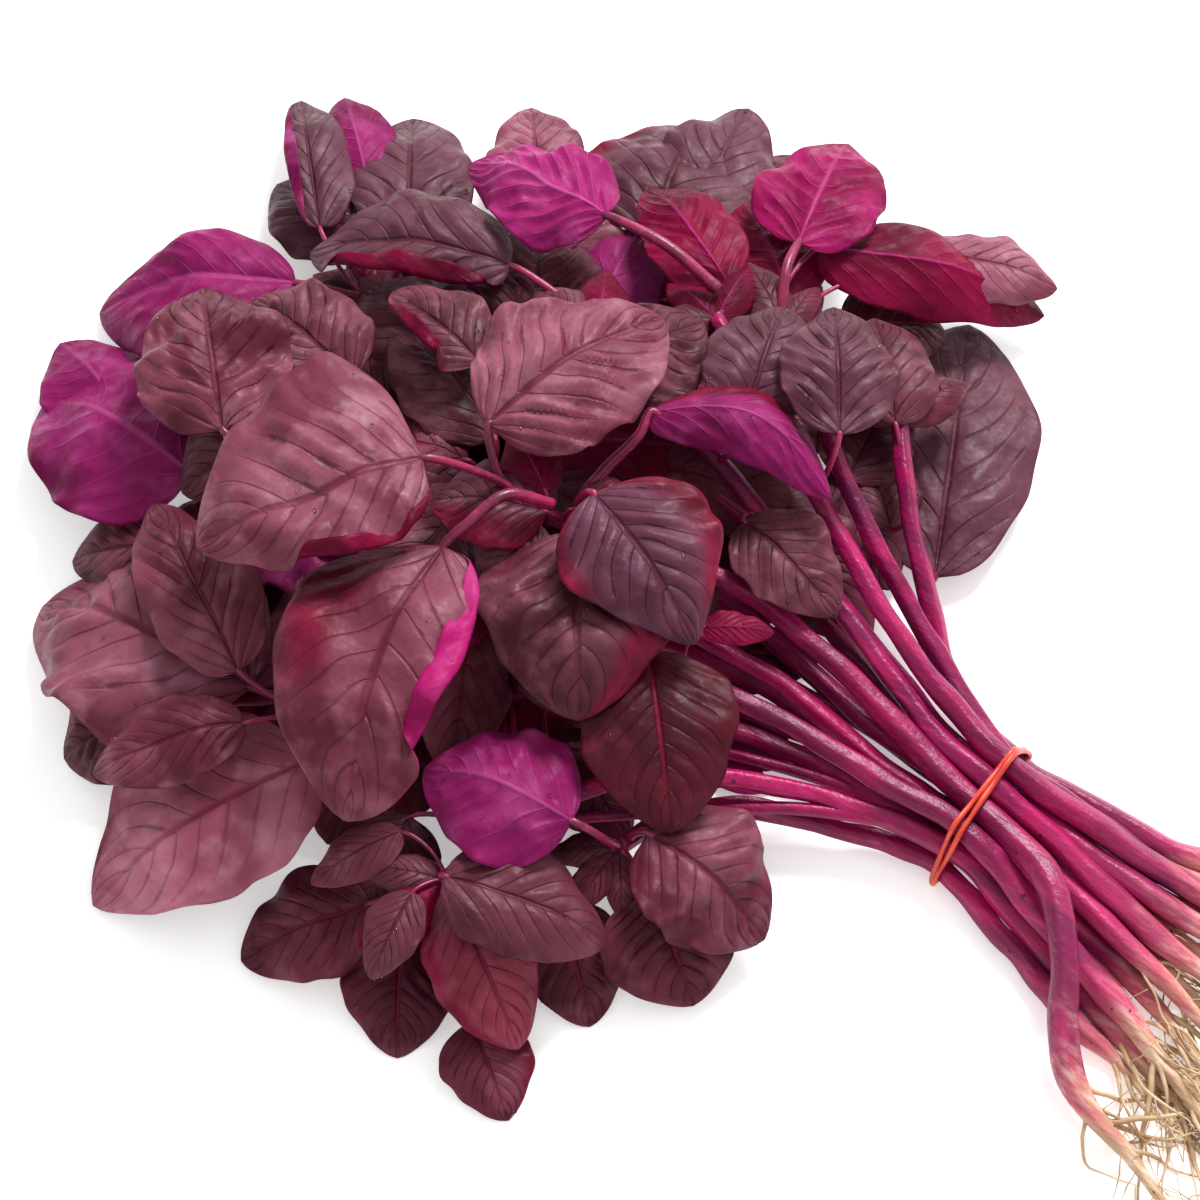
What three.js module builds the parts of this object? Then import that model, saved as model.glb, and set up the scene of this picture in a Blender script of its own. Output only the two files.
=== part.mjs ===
// Red amaranth bunch, lying on a flat surface. Millimetres, +Z up.
// +X runs along the bunch from the leaves to the roots, and the origin is on the surface, under the rubber
// band. Stems, leaves and band are separate solids that keep a small gap to each other.
import * as THREE from 'three';
import { mergeVertices } from 'three/addons/utils/BufferGeometryUtils.js';

// Driving dimensions
const STEM_RADIUS = 2.9;          // a middling stem where the band holds it
const STEM_PITCH = 7.0;           // distance between neighbouring stems in a row at the band
const ROW_RISE = 6.2;             // height from one row of stems to the next at the band
const BAND_WIDTH = 3.0;           // along the bunch
const BAND_THICKNESS = 1.3;
const BAND_GAP = 0.7;             // between the band and the stems
const COLLAR_X = 48;              // where stem turns into root
const LEAF_THICKNESS = 0.8;
const LEAF_GAP = 1.4;             // least height between a leaf and what it lies on
const STALK_WIDTH = 2.6;          // a leaf where its stalk begins
const TIP_WIDTH = 1.4;            // the blunt end of a leaf
const STEM_SIDES = 7;
const STEM_STEPS = 13;
const LEAF_STEPS = 6;             // segments along a leaf
const LEAF_COLUMNS = 4;           // segments across a leaf

const COLOURS = {
  mauve: '#8a5560',
  brown: '#6e444a',
  maroon: '#4f2631',
  crimson: '#8c1238',
  violet: '#a23a82',
  stem: '#a02462',
  rubber: '#e8553c',
};

const finish = (tone, roughness) =>
  new THREE.MeshStandardMaterial({ color: COLOURS[tone], roughness, metalness: 0 });

// ---- Rubber band -------------------------------------------------------------------------------------

const rowHeight = (row) => BAND_THICKNESS + BAND_GAP + STEM_RADIUS + row * ROW_RISE;
const cornerLow = new THREE.Vector2(2.5 * STEM_PITCH, rowHeight(0));
const cornerHigh = new THREE.Vector2(1.5 * STEM_PITCH, rowHeight(2));

// Closed outline round the four corner stems at a given distance from their centres.
function bundleOutline(path, distance) {
  const lean = Math.atan2(cornerLow.x - cornerHigh.x, cornerHigh.y - cornerLow.y);
  path.absarc(cornerLow.x, cornerLow.y, distance, -Math.PI / 2, lean, false);
  path.absarc(cornerHigh.x, cornerHigh.y, distance, lean, Math.PI / 2, false);
  path.absarc(-cornerHigh.x, cornerHigh.y, distance, Math.PI / 2, Math.PI - lean, false);
  path.absarc(-cornerLow.x, cornerLow.y, distance, Math.PI - lean, Math.PI * 1.5, false);
  path.closePath();
  return path;
}

function rubberBand() {
  const inside = STEM_RADIUS + BAND_GAP;
  const outline = bundleOutline(new THREE.Shape(), inside + BAND_THICKNESS);
  outline.holes.push(bundleOutline(new THREE.Path(), inside));
  const geometry = new THREE.ExtrudeGeometry(outline, {
    depth: BAND_WIDTH, bevelEnabled: false, curveSegments: 4,
  });
  geometry.translate(0, 0, -BAND_WIDTH / 2);
  // The outline's own x and y become the bunch's y and z, and the extrusion runs along x.
  geometry.applyMatrix4(new THREE.Matrix4().makeBasis(
    new THREE.Vector3(0, 1, 0), new THREE.Vector3(0, 0, 1), new THREE.Vector3(1, 0, 0)));
  const mesh = new THREE.Mesh(geometry, finish('rubber', 0.5));
  mesh.name = 'rubber_band';
  return mesh;
}

// ---- Stems with their taproots -----------------------------------------------------------------------
// at: column and row at the band. shoot: points from the leafy end towards the band. collar: y and z where
// the stem turns into root, or a list of points. root: the taproot's tip. radius: at the band.

const stems = [
  { at: [1.5, 2], radius: 2.9, shoot: [[-127, 64, 38], [-100, 50, 35], [-72, 36, 29.5], [-48, 25, 25], [-20, 15, 18.8]],
    collar: [11.5, 9.4], root: [98, 20, 4] },
  { at: [0.5, 2], radius: 2.9, shoot: [[-150, 44, 35], [-120, 36, 33], [-90, 29, 29], [-62, 21, 24], [-20, 7, 18.4]],
    collar: [-2.5, 9.6], root: [104, -8, 4] },
  { at: [-0.5, 2], radius: 3.2, shoot: [[-128, -10, 40], [-105, -1, 34], [-79, 7, 28], [-45, 6, 22], [-18, 0, 18]],
    collar: [[16, -6.5, 18.6], [28, -13, 20.4], [39, -25.5, 18.4], [48, -38, 11.5], [56, -46, 7.5]], root: [100, -62, 2.5] },
  { at: [-1.5, 2], radius: 2.9, shoot: [[-125, -36, 38], [-100, -28, 33], [-78, -20, 27], [-55, -15, 22], [-25, -12, 18.4]],
    collar: [-21.8, 8.6], root: [100, -40, 3] },
  { at: [2, 1], radius: 2.8, shoot: [[-112, 74, 34], [-90, 59, 32], [-69, 44, 28], [-40, 30.5, 19], [-18, 20, 13]],
    collar: [15, 3.4], root: [97, 34, 2] },
  { at: [1, 1], radius: 2.7, shoot: [[-165, 22, 26], [-120, 28, 23], [-72, 27, 17], [-40, 18, 13.5], [-18, 10.5, 11.6]],
    collar: [4.5, 9.6], root: [100, 7, 3] },
  { at: [0, 1], radius: 2.6, shoot: [[-190, -24, 24], [-160, -6, 22], [-120, 6, 18], [-70, 7, 13.5], [-35, 2.5, 12]],
    collar: [-9.4, 9.6], root: [96, -20, 3] },
  { at: [-1, 1], radius: 2.8, shoot: [[-130, -22, 26], [-95, -9, 22], [-62, -4, 17.5], [-35, -5.5, 13.5]],
    collar: [-12.5, 3.2], root: [92, -27, 2] },
  { at: [-2, 1], radius: 2.7, shoot: [[-92, -98, 24], [-88, -80, 24], [-76, -54, 22], [-57, -36, 19], [-38, -25, 15]],
    collar: [-25, 3.2], root: [84, -36, 2] },
  { at: [-2.5, 0], radius: 2.6, shoot: [[-65, -64, 17], [-61, -50, 14], [-52, -37, 10.5], [-35, -27, 6.5]],
    collar: [-31.4, 3.2], root: [74, -36, 1.6] },
  { at: [-1.5, 0], radius: 2.7, shoot: [[-148, -76, 15], [-136, -64, 13.5], [-110, -42, 11], [-62, -17, 6.5], [-30, -11, 5]],
    collar: [-18.6, 3], root: [86, -32, 1.6] },
  { at: [-0.5, 0], radius: 2.7, shoot: [[-172, -34, 13], [-120, -15, 9], [-65, -3, 6], [-30, -3.5, 5]],
    collar: [-6, 3], root: [90, -14, 1.6] },
  { at: [0.5, 0], radius: 2.7, shoot: [[-215, 28, 13], [-180, 30, 12], [-120, 18, 8], [-65, 9, 6], [-30, 4, 5]],
    collar: [1, 3], root: [88, 2, 1.6] },
  { at: [1.5, 0], radius: 2.7, shoot: [[-176, 84, 15], [-155, 72, 13], [-110, 46, 10], [-62, 22, 6.5], [-30, 13, 5]],
    collar: [8.2, 3], root: [86, 16, 1.6] },
  { at: [2.5, 0], radius: 2.8, shoot: [[-76, 74, 25], [-62, 58, 22], [-46, 42, 17], [-24, 25, 7.4]],
    collar: [21.6, 3.2], root: [92, 42, 2] },
];

function stemRoute({ at: [column, row], shoot, collar, root }) {
  const tied = [0, column * STEM_PITCH, rowHeight(row)];
  const neck = Array.isArray(collar[0]) ? collar : [[COLLAR_X, ...collar]];
  const halfway = neck[0].map((value, axis) => (value + tied[axis]) / 2);
  const early = Array.isArray(collar[0]) ? [] : [halfway];
  const last = neck.at(-1);
  const taper = last.map((value, axis) => value * 0.5 + root[axis] * 0.5);
  const points = [...shoot, tied, ...early, ...neck, taper, root];
  return new THREE.CatmullRomCurve3(points.map((p) => new THREE.Vector3(...p)), false, 'centripetal');
}

// Radius along a stem: slim at the shoot, full at the band, a little thicker at the collar, then a root
// that tapers to its tip.
function stemRadius(x, radius, tipX) {
  const collarX = COLLAR_X + 4;
  if (x > collarX) {
    const along = Math.min((x - collarX) / (tipX - collarX), 1);
    return radius * (1.08 * (1 - along) ** 1.3 + 0.24 * along);
  }
  if (x > 0) return radius * (1 + 0.08 * x / collarX);
  return radius * Math.max(1 + 0.0028 * x, 0.6);
}

// A turned blank on the Y axis, bent so that its axis follows the route.
function bendAlong(geometry, route, length) {
  const position = geometry.getAttribute('position');
  const up = new THREE.Vector3(0, 0, 1);
  for (let i = 0; i < position.count; i += 1) {
    const u = THREE.MathUtils.clamp(position.getY(i) / length, 0, 1);
    const tangent = route.getTangentAt(u);
    const side = new THREE.Vector3().crossVectors(up, tangent).normalize();
    const lift = new THREE.Vector3().crossVectors(tangent, side);
    const place = route.getPointAt(u)
      .addScaledVector(side, position.getZ(i))
      .addScaledVector(lift, position.getX(i));
    position.setXYZ(i, place.x, place.y, place.z);
  }
}

function stemMesh(stem, index) {
  const route = stemRoute(stem);
  const length = route.getLength();
  const profile = [new THREE.Vector2(0, 0)];
  for (let step = 0; step <= STEM_STEPS; step += 1) {
    const u = step / STEM_STEPS;
    profile.push(new THREE.Vector2(stemRadius(route.getPointAt(u).x, stem.radius, stem.root[0]), u * length));
  }
  profile.push(new THREE.Vector2(0, length));
  const geometry = new THREE.LatheGeometry(profile, STEM_SIDES);
  bendAlong(geometry, route, length);
  const mesh = new THREE.Mesh(geometry, finish('stem', 0.45));
  mesh.name = `stem_${String(index + 1).padStart(2, '0')}`;
  return mesh;
}

// ---- Leaves ------------------------------------------------------------------------------------------
// base: where the stalk meets the blade. tip: the blade's end. width: across the widest place. arch: how
// far the midrib bows up. cup: how far the two margins hang below the midrib. roll: degrees that the blade
// turns about its midrib. sway: how far the midrib bows sideways.

const lowLeaves = [
  { base: [-70, -118, 4], tip: [-49, -132, 0], width: 23, arch: 3, cup: 2.5, tone: 'maroon' },
  { base: [-97, -111, 7], tip: [-80, -135, 0], width: 28, arch: 3, cup: 2.5, tone: 'maroon' },
  { base: [-107, -110, 9], tip: [-126, -138, 0], width: 30, arch: 4, cup: 3, tone: 'maroon' },
  { base: [-70, -82, 9], tip: [-47, -101, 0], width: 28, arch: 3, cup: 2, tone: 'maroon' },
  { base: [-53, -68, 10], tip: [-29, -83, 0], width: 37, arch: 3, cup: 3, tone: 'maroon' },
  { base: [-46, 49, 7], tip: [-83, 123, 0], width: 42, arch: 5, cup: 3, tone: 'mauve' },
  { base: [-62, -27, 3], tip: [-47, -22, 1], width: 10, arch: 1, cup: 1, tone: 'violet' },
  { base: [-215, 47, 18], tip: [-246, 88, 2], width: 36, arch: 6, cup: 3, tone: 'mauve' },
  { base: [-163, 86, 18], tip: [-179, 132, 3], width: 50, arch: 6, cup: 4, tone: 'mauve' },
  { base: [-190, 73, 16], tip: [-218, 106, 6], width: 28, arch: 5, cup: 3, tone: 'mauve' },
];

const highLeaves = [
  { base: [-59, -60, 22], tip: [-24, -60, 4], width: 38, arch: 6, cup: 4, tone: 'maroon' },
  { base: [-88, -101, 20], tip: [-56, -118, 4], width: 28, arch: 6, cup: 4, tone: 'crimson' },
  { base: [-91, -100, 24], tip: [-53, -86, 8], width: 30, arch: 6, cup: 4, tone: 'brown' },
  { base: [-96, -106, 26], tip: [-92, -128, 20], width: 15, arch: 3, cup: 2, tone: 'brown' },
  { base: [-108, -95, 26], tip: [-119, -117, 20], width: 14, arch: 3, cup: 3, tone: 'mauve' },
  { base: [-74, -71, 27], tip: [-113, -79, 22], width: 38, arch: 8, cup: 5, tone: 'violet' },
  { base: [-235, 34, 16], tip: [-272, 71, 3], width: 24, arch: 6, cup: 4, tone: 'brown' },
  { base: [-230, 17, 20], tip: [-275, -14, 3], width: 44, arch: 10, cup: 7, tone: 'violet' },
  { base: [-213, -46, 22], tip: [-268, -44, 3], width: 54, arch: 9, cup: 6, tone: 'violet' },
  { base: [-139, -92, 22], tip: [-165, -148, 2], width: 54, arch: 10, cup: 6, tone: 'mauve' },
  { base: [-162, -86, 26], tip: [-229, -92, 3], width: 58, arch: 11, cup: 6, tone: 'brown' },
  { base: [-154, -97, 24], tip: [-180, -126, 12], width: 24, arch: 5, cup: 3, tone: 'brown' },
  { base: [-164, -87, 34], tip: [-215, -60, 26], width: 30, arch: 5, cup: 4, tone: 'brown' },
  { base: [-198, -22, 26], tip: [-211, -53, 18], width: 32, arch: 4, cup: 3, tone: 'maroon' },
  { base: [-194, -4, 32], tip: [-233, 4, 26], width: 34, arch: 5, cup: 3, tone: 'brown' },
  { base: [-208, -38, 32], tip: [-243, -4, 24], width: 42, arch: 6, cup: 5, tone: 'brown' },
  { base: [-181, 48, 34], tip: [-232, 26, 22], width: 38, arch: 9, cup: 6, tone: 'mauve' },
  { base: [-167, 16, 32], tip: [-200, 22, 28], width: 26, arch: 3, cup: 2, tone: 'brown' },
  { base: [-138, 22, 34], tip: [-128, 60, 30], width: 36, arch: 4, cup: 3, tone: 'brown' },
  { base: [-88, 21, 28], tip: [-55, 15, 23], width: 27, arch: 4, cup: 2, tone: 'brown' },
  { base: [-100, 38, 32], tip: [-113, 75, 27], width: 32, arch: 5, cup: 3, tone: 'mauve' },
  { base: [-77, 46, 32], tip: [-101, 79, 27], width: 30, arch: 5, cup: 3, tone: 'mauve' },
  { base: [-121, 103, 28], tip: [-66, 133, 8], width: 28, arch: 10, cup: 7, tone: 'crimson' },
  { base: [-124, 98, 34], tip: [-136, 141, 20], width: 36, arch: 6, cup: 4, tone: 'crimson' },
  { base: [-132, 77, 34], tip: [-170, 94, 25], width: 27, arch: 6, cup: 3, tone: 'crimson' },
  { base: [-166, 70, 38], tip: [-210, 68, 27], width: 34, arch: 7, cup: 6, tone: 'violet' },
  { base: [-79, -10, 34], tip: [-64, 0, 32], width: 10, arch: 2, cup: 1, tone: 'crimson' },
  { base: [-84, -26, 38], tip: [-54, -58, 26], width: 40, arch: 6, cup: 4, tone: 'maroon' },
  { base: [-116, -12, 40], tip: [-86, -52, 36], width: 50, arch: 8, cup: 5, tone: 'maroon' },
  { base: [-137, -38, 40], tip: [-114, -107, 31], width: 56, arch: 10, cup: 7, sway: -4, tone: 'mauve' },
  { base: [-153, -25, 44], tip: [-186, -73, 34], width: 60, arch: 9, cup: 6, sway: 3, tone: 'mauve' },
  { base: [-119, 24, 44], tip: [-71, 34, 36], width: 22, arch: 7, cup: 6, tone: 'violet' },
  { base: [-115, -6, 48], tip: [-73, -22, 40], width: 44, arch: 6, cup: 5, tone: 'mauve' },
  { base: [-148, -5, 48], tip: [-133, 49, 42], width: 46, arch: 7, cup: 5, tone: 'mauve' },
];

// Blade outline: 0 at both ends, 1 where the leaf is widest, a little before the middle.
const bladeOutline = (t) => Math.sin(Math.PI * t ** 0.78) ** 0.62;

// Axes of a leaf: along the midrib, across the blade, and out of its upper face.
function leafAxes({ base, tip, roll = 0 }) {
  const along = new THREE.Vector3(...tip).sub(new THREE.Vector3(...base));
  const across = new THREE.Vector3(-along.y, along.x, 0).normalize();
  const turn = THREE.MathUtils.degToRad(roll);
  across.applyAxisAngle(along.clone().normalize(), turn);
  const out = new THREE.Vector3().crossVectors(along, across).normalize();
  return { along, across, out };
}

// A point of the blade's middle surface. t runs from base to tip and s from -1 to 1 across.
function bladePoint(leaf, axes, t, s) {
  const { width, arch, cup, sway = 0 } = leaf;
  const narrowest = THREE.MathUtils.lerp(STALK_WIDTH, TIP_WIDTH, t) / 2;
  const outline = bladeOutline(THREE.MathUtils.clamp(t, 0.001, 0.999));
  const half = Math.max(width / 2 * outline, narrowest);
  const bow = Math.sin(Math.PI * t);
  return new THREE.Vector3(...leaf.base)
    .addScaledVector(axes.along, t)
    .addScaledVector(axes.across, half * s + sway * bow)
    .addScaledVector(axes.out, arch * bow - cup * s * s * outline);
}

function leafGeometry(leaf) {
  const geometry = new THREE.BoxGeometry(1, 2, 1, LEAF_STEPS, LEAF_COLUMNS, 1);
  const position = geometry.getAttribute('position');
  const axes = leafAxes(leaf);
  for (let i = 0; i < position.count; i += 1) {
    const place = bladePoint(leaf, axes, position.getX(i) + 0.5, position.getY(i));
    place.addScaledVector(axes.out, position.getZ(i) * LEAF_THICKNESS);
    position.setXYZ(i, place.x, place.y, place.z);
  }
  return geometry;
}

// ---- Settling: each leaf is raised until it clears everything that is already below it -----------------

const CELL = 1.5;                 // size of one square of the height map
const REACH = 320;                // the map covers this far each way from the origin
const MAP_SIDE = Math.ceil(2 * REACH / CELL);
const heights = new Float32Array(MAP_SIDE * MAP_SIDE);

const cellOf = (value) => Math.round((value + REACH) / CELL);

// Calls visit(x, y, z) on points spread over every triangle of a geometry.
function scanSurface(geometry, visit) {
  const flat = geometry.index ? geometry.toNonIndexed() : geometry;
  const position = flat.getAttribute('position');
  const [a, b, c, place] = [0, 1, 2, 3].map(() => new THREE.Vector3());
  for (let i = 0; i < position.count; i += 3) {
    a.fromBufferAttribute(position, i);
    b.fromBufferAttribute(position, i + 1);
    c.fromBufferAttribute(position, i + 2);
    const longest = Math.max(a.distanceTo(b), b.distanceTo(c), c.distanceTo(a));
    const steps = Math.max(1, Math.ceil(longest / CELL));
    for (let j = 0; j <= steps; j += 1) {
      for (let k = 0; k <= steps - j; k += 1) {
        place.copy(a).multiplyScalar((steps - j - k) / steps)
          .addScaledVector(b, j / steps)
          .addScaledVector(c, k / steps);
        visit(place.x, place.y, place.z);
      }
    }
  }
}

function addToHeights(geometry) {
  scanSurface(geometry, (x, y, z) => {
    for (let i = -1; i <= 1; i += 1) {
      for (let j = -1; j <= 1; j += 1) {
        const cell = (cellOf(y) + j) * MAP_SIDE + cellOf(x) + i;
        heights[cell] = Math.max(heights[cell], z);
      }
    }
  });
}

function liftNeeded(geometry) {
  let lift = 0;
  scanSurface(geometry, (x, y, z) => {
    const below = heights[cellOf(y) * MAP_SIDE + cellOf(x)];
    const gap = below > 0 ? LEAF_GAP : 0;
    lift = Math.max(lift, below + gap - z);
  });
  return lift;
}

let leafCount = 0;

function settledLeaf(leaf) {
  const geometry = leafGeometry(leaf);
  geometry.translate(0, 0, liftNeeded(geometry));
  addToHeights(geometry);
  leafCount += 1;
  const mesh = new THREE.Mesh(geometry, finish(leaf.tone, 0.6));
  mesh.name = `leaf_${String(leafCount).padStart(2, '0')}`;
  return mesh;
}

// ---- Assembly ----------------------------------------------------------------------------------------

const bunch = new THREE.Group();
bunch.name = 'red_amaranth_bunch';

for (const leaf of lowLeaves) bunch.add(settledLeaf(leaf));

const stemMeshes = stems.map(stemMesh);
for (const mesh of stemMeshes) {
  addToHeights(mesh.geometry);
  bunch.add(mesh);
}
bunch.add(rubberBand());

for (const leaf of highLeaves) bunch.add(settledLeaf(leaf));

for (const mesh of bunch.children) {
  mesh.geometry.deleteAttribute('normal');
  mesh.geometry.deleteAttribute('uv');
  mesh.geometry = mergeVertices(mesh.geometry, 1e-4);
  mesh.geometry.computeVertexNormals();
}

export default bunch;
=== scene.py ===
"""Red amaranth bunch: fine leaves, stems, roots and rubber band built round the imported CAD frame."""
import math
import random

import bpy
import numpy as np
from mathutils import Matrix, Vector


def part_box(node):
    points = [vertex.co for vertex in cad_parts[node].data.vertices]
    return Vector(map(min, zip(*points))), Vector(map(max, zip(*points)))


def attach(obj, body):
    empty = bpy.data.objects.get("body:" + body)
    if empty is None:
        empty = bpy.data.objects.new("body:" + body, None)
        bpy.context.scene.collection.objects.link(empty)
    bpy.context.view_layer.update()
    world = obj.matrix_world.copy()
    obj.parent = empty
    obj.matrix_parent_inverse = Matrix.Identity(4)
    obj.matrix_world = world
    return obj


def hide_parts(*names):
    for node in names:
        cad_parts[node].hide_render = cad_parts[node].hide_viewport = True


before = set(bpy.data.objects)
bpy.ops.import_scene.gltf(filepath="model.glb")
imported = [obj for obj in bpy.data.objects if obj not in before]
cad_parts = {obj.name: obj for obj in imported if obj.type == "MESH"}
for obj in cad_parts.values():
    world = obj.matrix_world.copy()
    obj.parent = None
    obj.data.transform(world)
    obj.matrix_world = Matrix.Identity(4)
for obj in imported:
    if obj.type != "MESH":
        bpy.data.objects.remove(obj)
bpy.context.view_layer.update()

MM = 0.001
BODY = "root"

# Sizes shared with the CAD model, in millimetres
STEM_RADIUS = 2.9
STEM_PITCH = 7.0
ROW_RISE = 6.2
BAND_THICKNESS = 1.3
BAND_GAP = 0.7
COLLAR_X = 48.0
LEAF_THICKNESS = 0.8
STALK_WIDTH = 2.6
TIP_WIDTH = 1.4
LEAF_STEPS = 6
LEAF_COLUMNS = 4

# Finer sizes of the visual model, in millimetres
BLADE_THICKNESS = 0.36
STEM_FULLNESS = 1.03            # stems fill the CAD model's gaps, so that they nearly touch
STRAND_RADIUS = 0.75            # one turn of the rubber band
STALK_RADIUS = 0.95
ROOT_REACH = 110.0              # the farthest x at which a root hair still runs outwards


# ---- Camera ------------------------------------------------------------------------------------------

AZIMUTH = math.radians(36)
ELEVATION = math.radians(62)
CAMERA_DISTANCE = 0.85
CAMERA_LENS = 102
AIM = Vector((-0.105, -0.017, 0.030))


def add_camera():
    data = bpy.data.cameras.new("camera")
    data.lens = CAMERA_LENS
    data.clip_start = 0.01
    camera = bpy.data.objects.new("camera", data)
    bpy.context.collection.objects.link(camera)
    back = Vector((math.sin(AZIMUTH) * math.cos(ELEVATION),
                   -math.cos(AZIMUTH) * math.cos(ELEVATION), math.sin(ELEVATION)))
    camera.location = AIM + back * CAMERA_DISTANCE
    camera.rotation_euler = back.to_track_quat("Z", "Y").to_euler()
    bpy.context.scene.camera = camera


# ---- Materials ---------------------------------------------------------------------------------------

class Nodes:
    """Short names for building one material's node tree."""

    def __init__(self, name):
        self.material = bpy.data.materials.new(name)
        self.material.use_nodes = True
        self.tree = self.material.node_tree
        self.shader = self.tree.nodes["Principled BSDF"]

    def add(self, kind, **settings):
        node = self.tree.nodes.new(kind)
        for key, value in settings.items():
            setattr(node, key, value)
        return node

    def link(self, source, target):
        self.tree.links.new(source, target)

    def put(self, socket, value):
        if isinstance(value, bpy.types.NodeSocket):
            self.link(value, socket)
        else:
            socket.default_value = value

    def math(self, operation, first, second=0.0, clamp=False):
        node = self.add("ShaderNodeMath", operation=operation, use_clamp=clamp)
        self.put(node.inputs[0], first)
        self.put(node.inputs[1], second)
        return node.outputs[0]

    def ramp(self, value, low, high, out_low=0.0, out_high=1.0):
        node = self.add("ShaderNodeMapRange", interpolation_type="SMOOTHSTEP")
        for socket, number in zip(node.inputs, (value, low, high, out_low, out_high)):
            self.put(socket, number)
        return node.outputs[0]

    def mix(self, factor, first, second, blend="MIX"):
        node = self.add("ShaderNodeMix", data_type="RGBA", blend_type=blend)
        self.put(node.inputs[0], factor)
        self.put(node.inputs[6], (*first, 1) if isinstance(first, tuple) else first)
        self.put(node.inputs[7], (*second, 1) if isinstance(second, tuple) else second)
        return node.outputs[2]

    def noise(self, vector, scale, detail=3.0, roughness=0.55, distortion=0.0):
        node = self.add("ShaderNodeTexNoise")
        self.put(node.inputs["Vector"], vector)
        node.inputs["Scale"].default_value = scale
        node.inputs["Detail"].default_value = detail
        node.inputs["Roughness"].default_value = roughness
        node.inputs["Distortion"].default_value = distortion
        return node.outputs[0]

    def stretch(self, vector, scale):
        node = self.add("ShaderNodeMapping")
        self.link(vector, node.inputs["Vector"])
        node.inputs["Scale"].default_value = scale
        return node.outputs[0]

    def bump(self, height, distance, strength=1.0, normal=None):
        node = self.add("ShaderNodeBump")
        self.link(height, node.inputs["Height"])
        node.inputs["Distance"].default_value = distance
        node.inputs["Strength"].default_value = strength
        if normal:
            self.link(normal, node.inputs["Normal"])
        return node.outputs[0]

    def finish(self, colour, roughness, normal=None, **plain):
        self.put(self.shader.inputs["Base Color"], colour)
        self.put(self.shader.inputs["Roughness"], roughness)
        if normal:
            self.link(normal, self.shader.inputs["Normal"])
        for key, value in plain.items():
            self.shader.inputs[key.replace("_", " ")].default_value = value
        return self.material


VEIN_PAIRS = 8
VEIN_LEAN = 0.36                # how far a side vein runs towards the tip on its way to the margin


def leaf_material(name, base, dark, light, vein, raised, crease_shade=0.5):
    """One face of a leaf. The UV map runs 0 to 1 from stalk to tip and 0 to 1 across; the mesh also
    carries the phase of the side veins and the strength of a red glow, painted where light would shine
    through the thin blade."""
    n = Nodes(name)
    place = n.add("ShaderNodeTexCoord")
    uv = n.add("ShaderNodeSeparateXYZ")
    n.link(place.outputs["UV"], uv.inputs[0])
    along = uv.outputs[0]
    across = n.math("MULTIPLY", n.math("ABSOLUTE", n.math("SUBTRACT", uv.outputs[1], 0.5)), 2.0)
    phase = n.add("ShaderNodeAttribute", attribute_name="phase").outputs["Fac"]
    painted_backlight = n.add("ShaderNodeAttribute", attribute_name="painted_backlight").outputs["Fac"]
    spot = place.outputs["Object"]

    broad = n.noise(spot, 36, 2, 0.5)
    cloud = n.noise(spot, 85, 3, 0.55)
    fine = n.noise(spot, 300, 4, 0.65)
    colour = n.mix(n.ramp(broad, 0.38, 0.60), dark, base)
    colour = n.mix(n.ramp(cloud, 0.47, 0.70, 0, 0.65), colour, light)
    colour = n.mix(n.ramp(fine, 0.45, 0.75, 0, 0.22), colour, dark)

    # side veins lie where the phase crosses a half; creases follow some of them
    apart = n.math("ABSOLUTE", n.math("SUBTRACT", n.math("FRACT", phase), 0.5))
    side_vein = n.ramp(apart, 0.0, 0.07, 1.0, 0.0)
    side_vein = n.math("MULTIPLY", side_vein, n.ramp(across, 0.95, 0.35, 0.0, 1.0))
    crease = n.ramp(apart, 0.0, 0.16, 1.0, 0.0)
    crease = n.math("MULTIPLY", crease, n.ramp(n.noise(spot, 110, 2), 0.52, 0.64))
    crease = n.math("MULTIPLY", crease, n.ramp(across, 1.0, 0.7, 0.0, 1.0))
    midrib = n.ramp(across, 0.012, 0.055, 1.0, 0.0)
    midrib = n.math("MULTIPLY", midrib, n.ramp(along, 1.0, 0.4, 0.1, 1.0))
    colour = n.mix(n.math("MULTIPLY", side_vein, 0.35 if raised else 0.14), colour, vein)
    colour = n.mix(n.math("MULTIPLY", midrib, 0.75), colour, vein)
    # painted shade: the upper face is darkened along some creases, where shade falls in the folds
    if not raised:
        colour = n.mix(n.math("MULTIPLY", crease, crease_shade), colour, tuple(0.35 * part for part in dark))
    # painted backlight: a crimson glow painted on thin margins and listed places, standing in for light
    # shining through the blade
    crimson = n.mix(n.ramp(cloud, 0.35, 0.65), (0.085, 0.001, 0.012), (0.17, 0.003, 0.028))
    colour = n.mix(n.math("MULTIPLY", painted_backlight, n.ramp(fine, 0.2, 0.5, 0.8, 1.0)), colour, crimson)

    normal = n.bump(n.noise(spot, 230, 5, 0.65), 0.0004, 0.5)
    normal = n.bump(cloud, 0.0022, 0.6, normal)
    groove = n.math("MAXIMUM", n.math("MAXIMUM", side_vein, crease), midrib)
    normal = n.bump(groove, 0.0003 if raised else -0.0006, 0.7, normal)
    roughness = n.ramp(fine, 0.3, 0.7, 0.38, 0.58)
    return n.finish(colour, roughness, normal, Specular_IOR_Level=0.08 if raised else 0.16)


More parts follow.
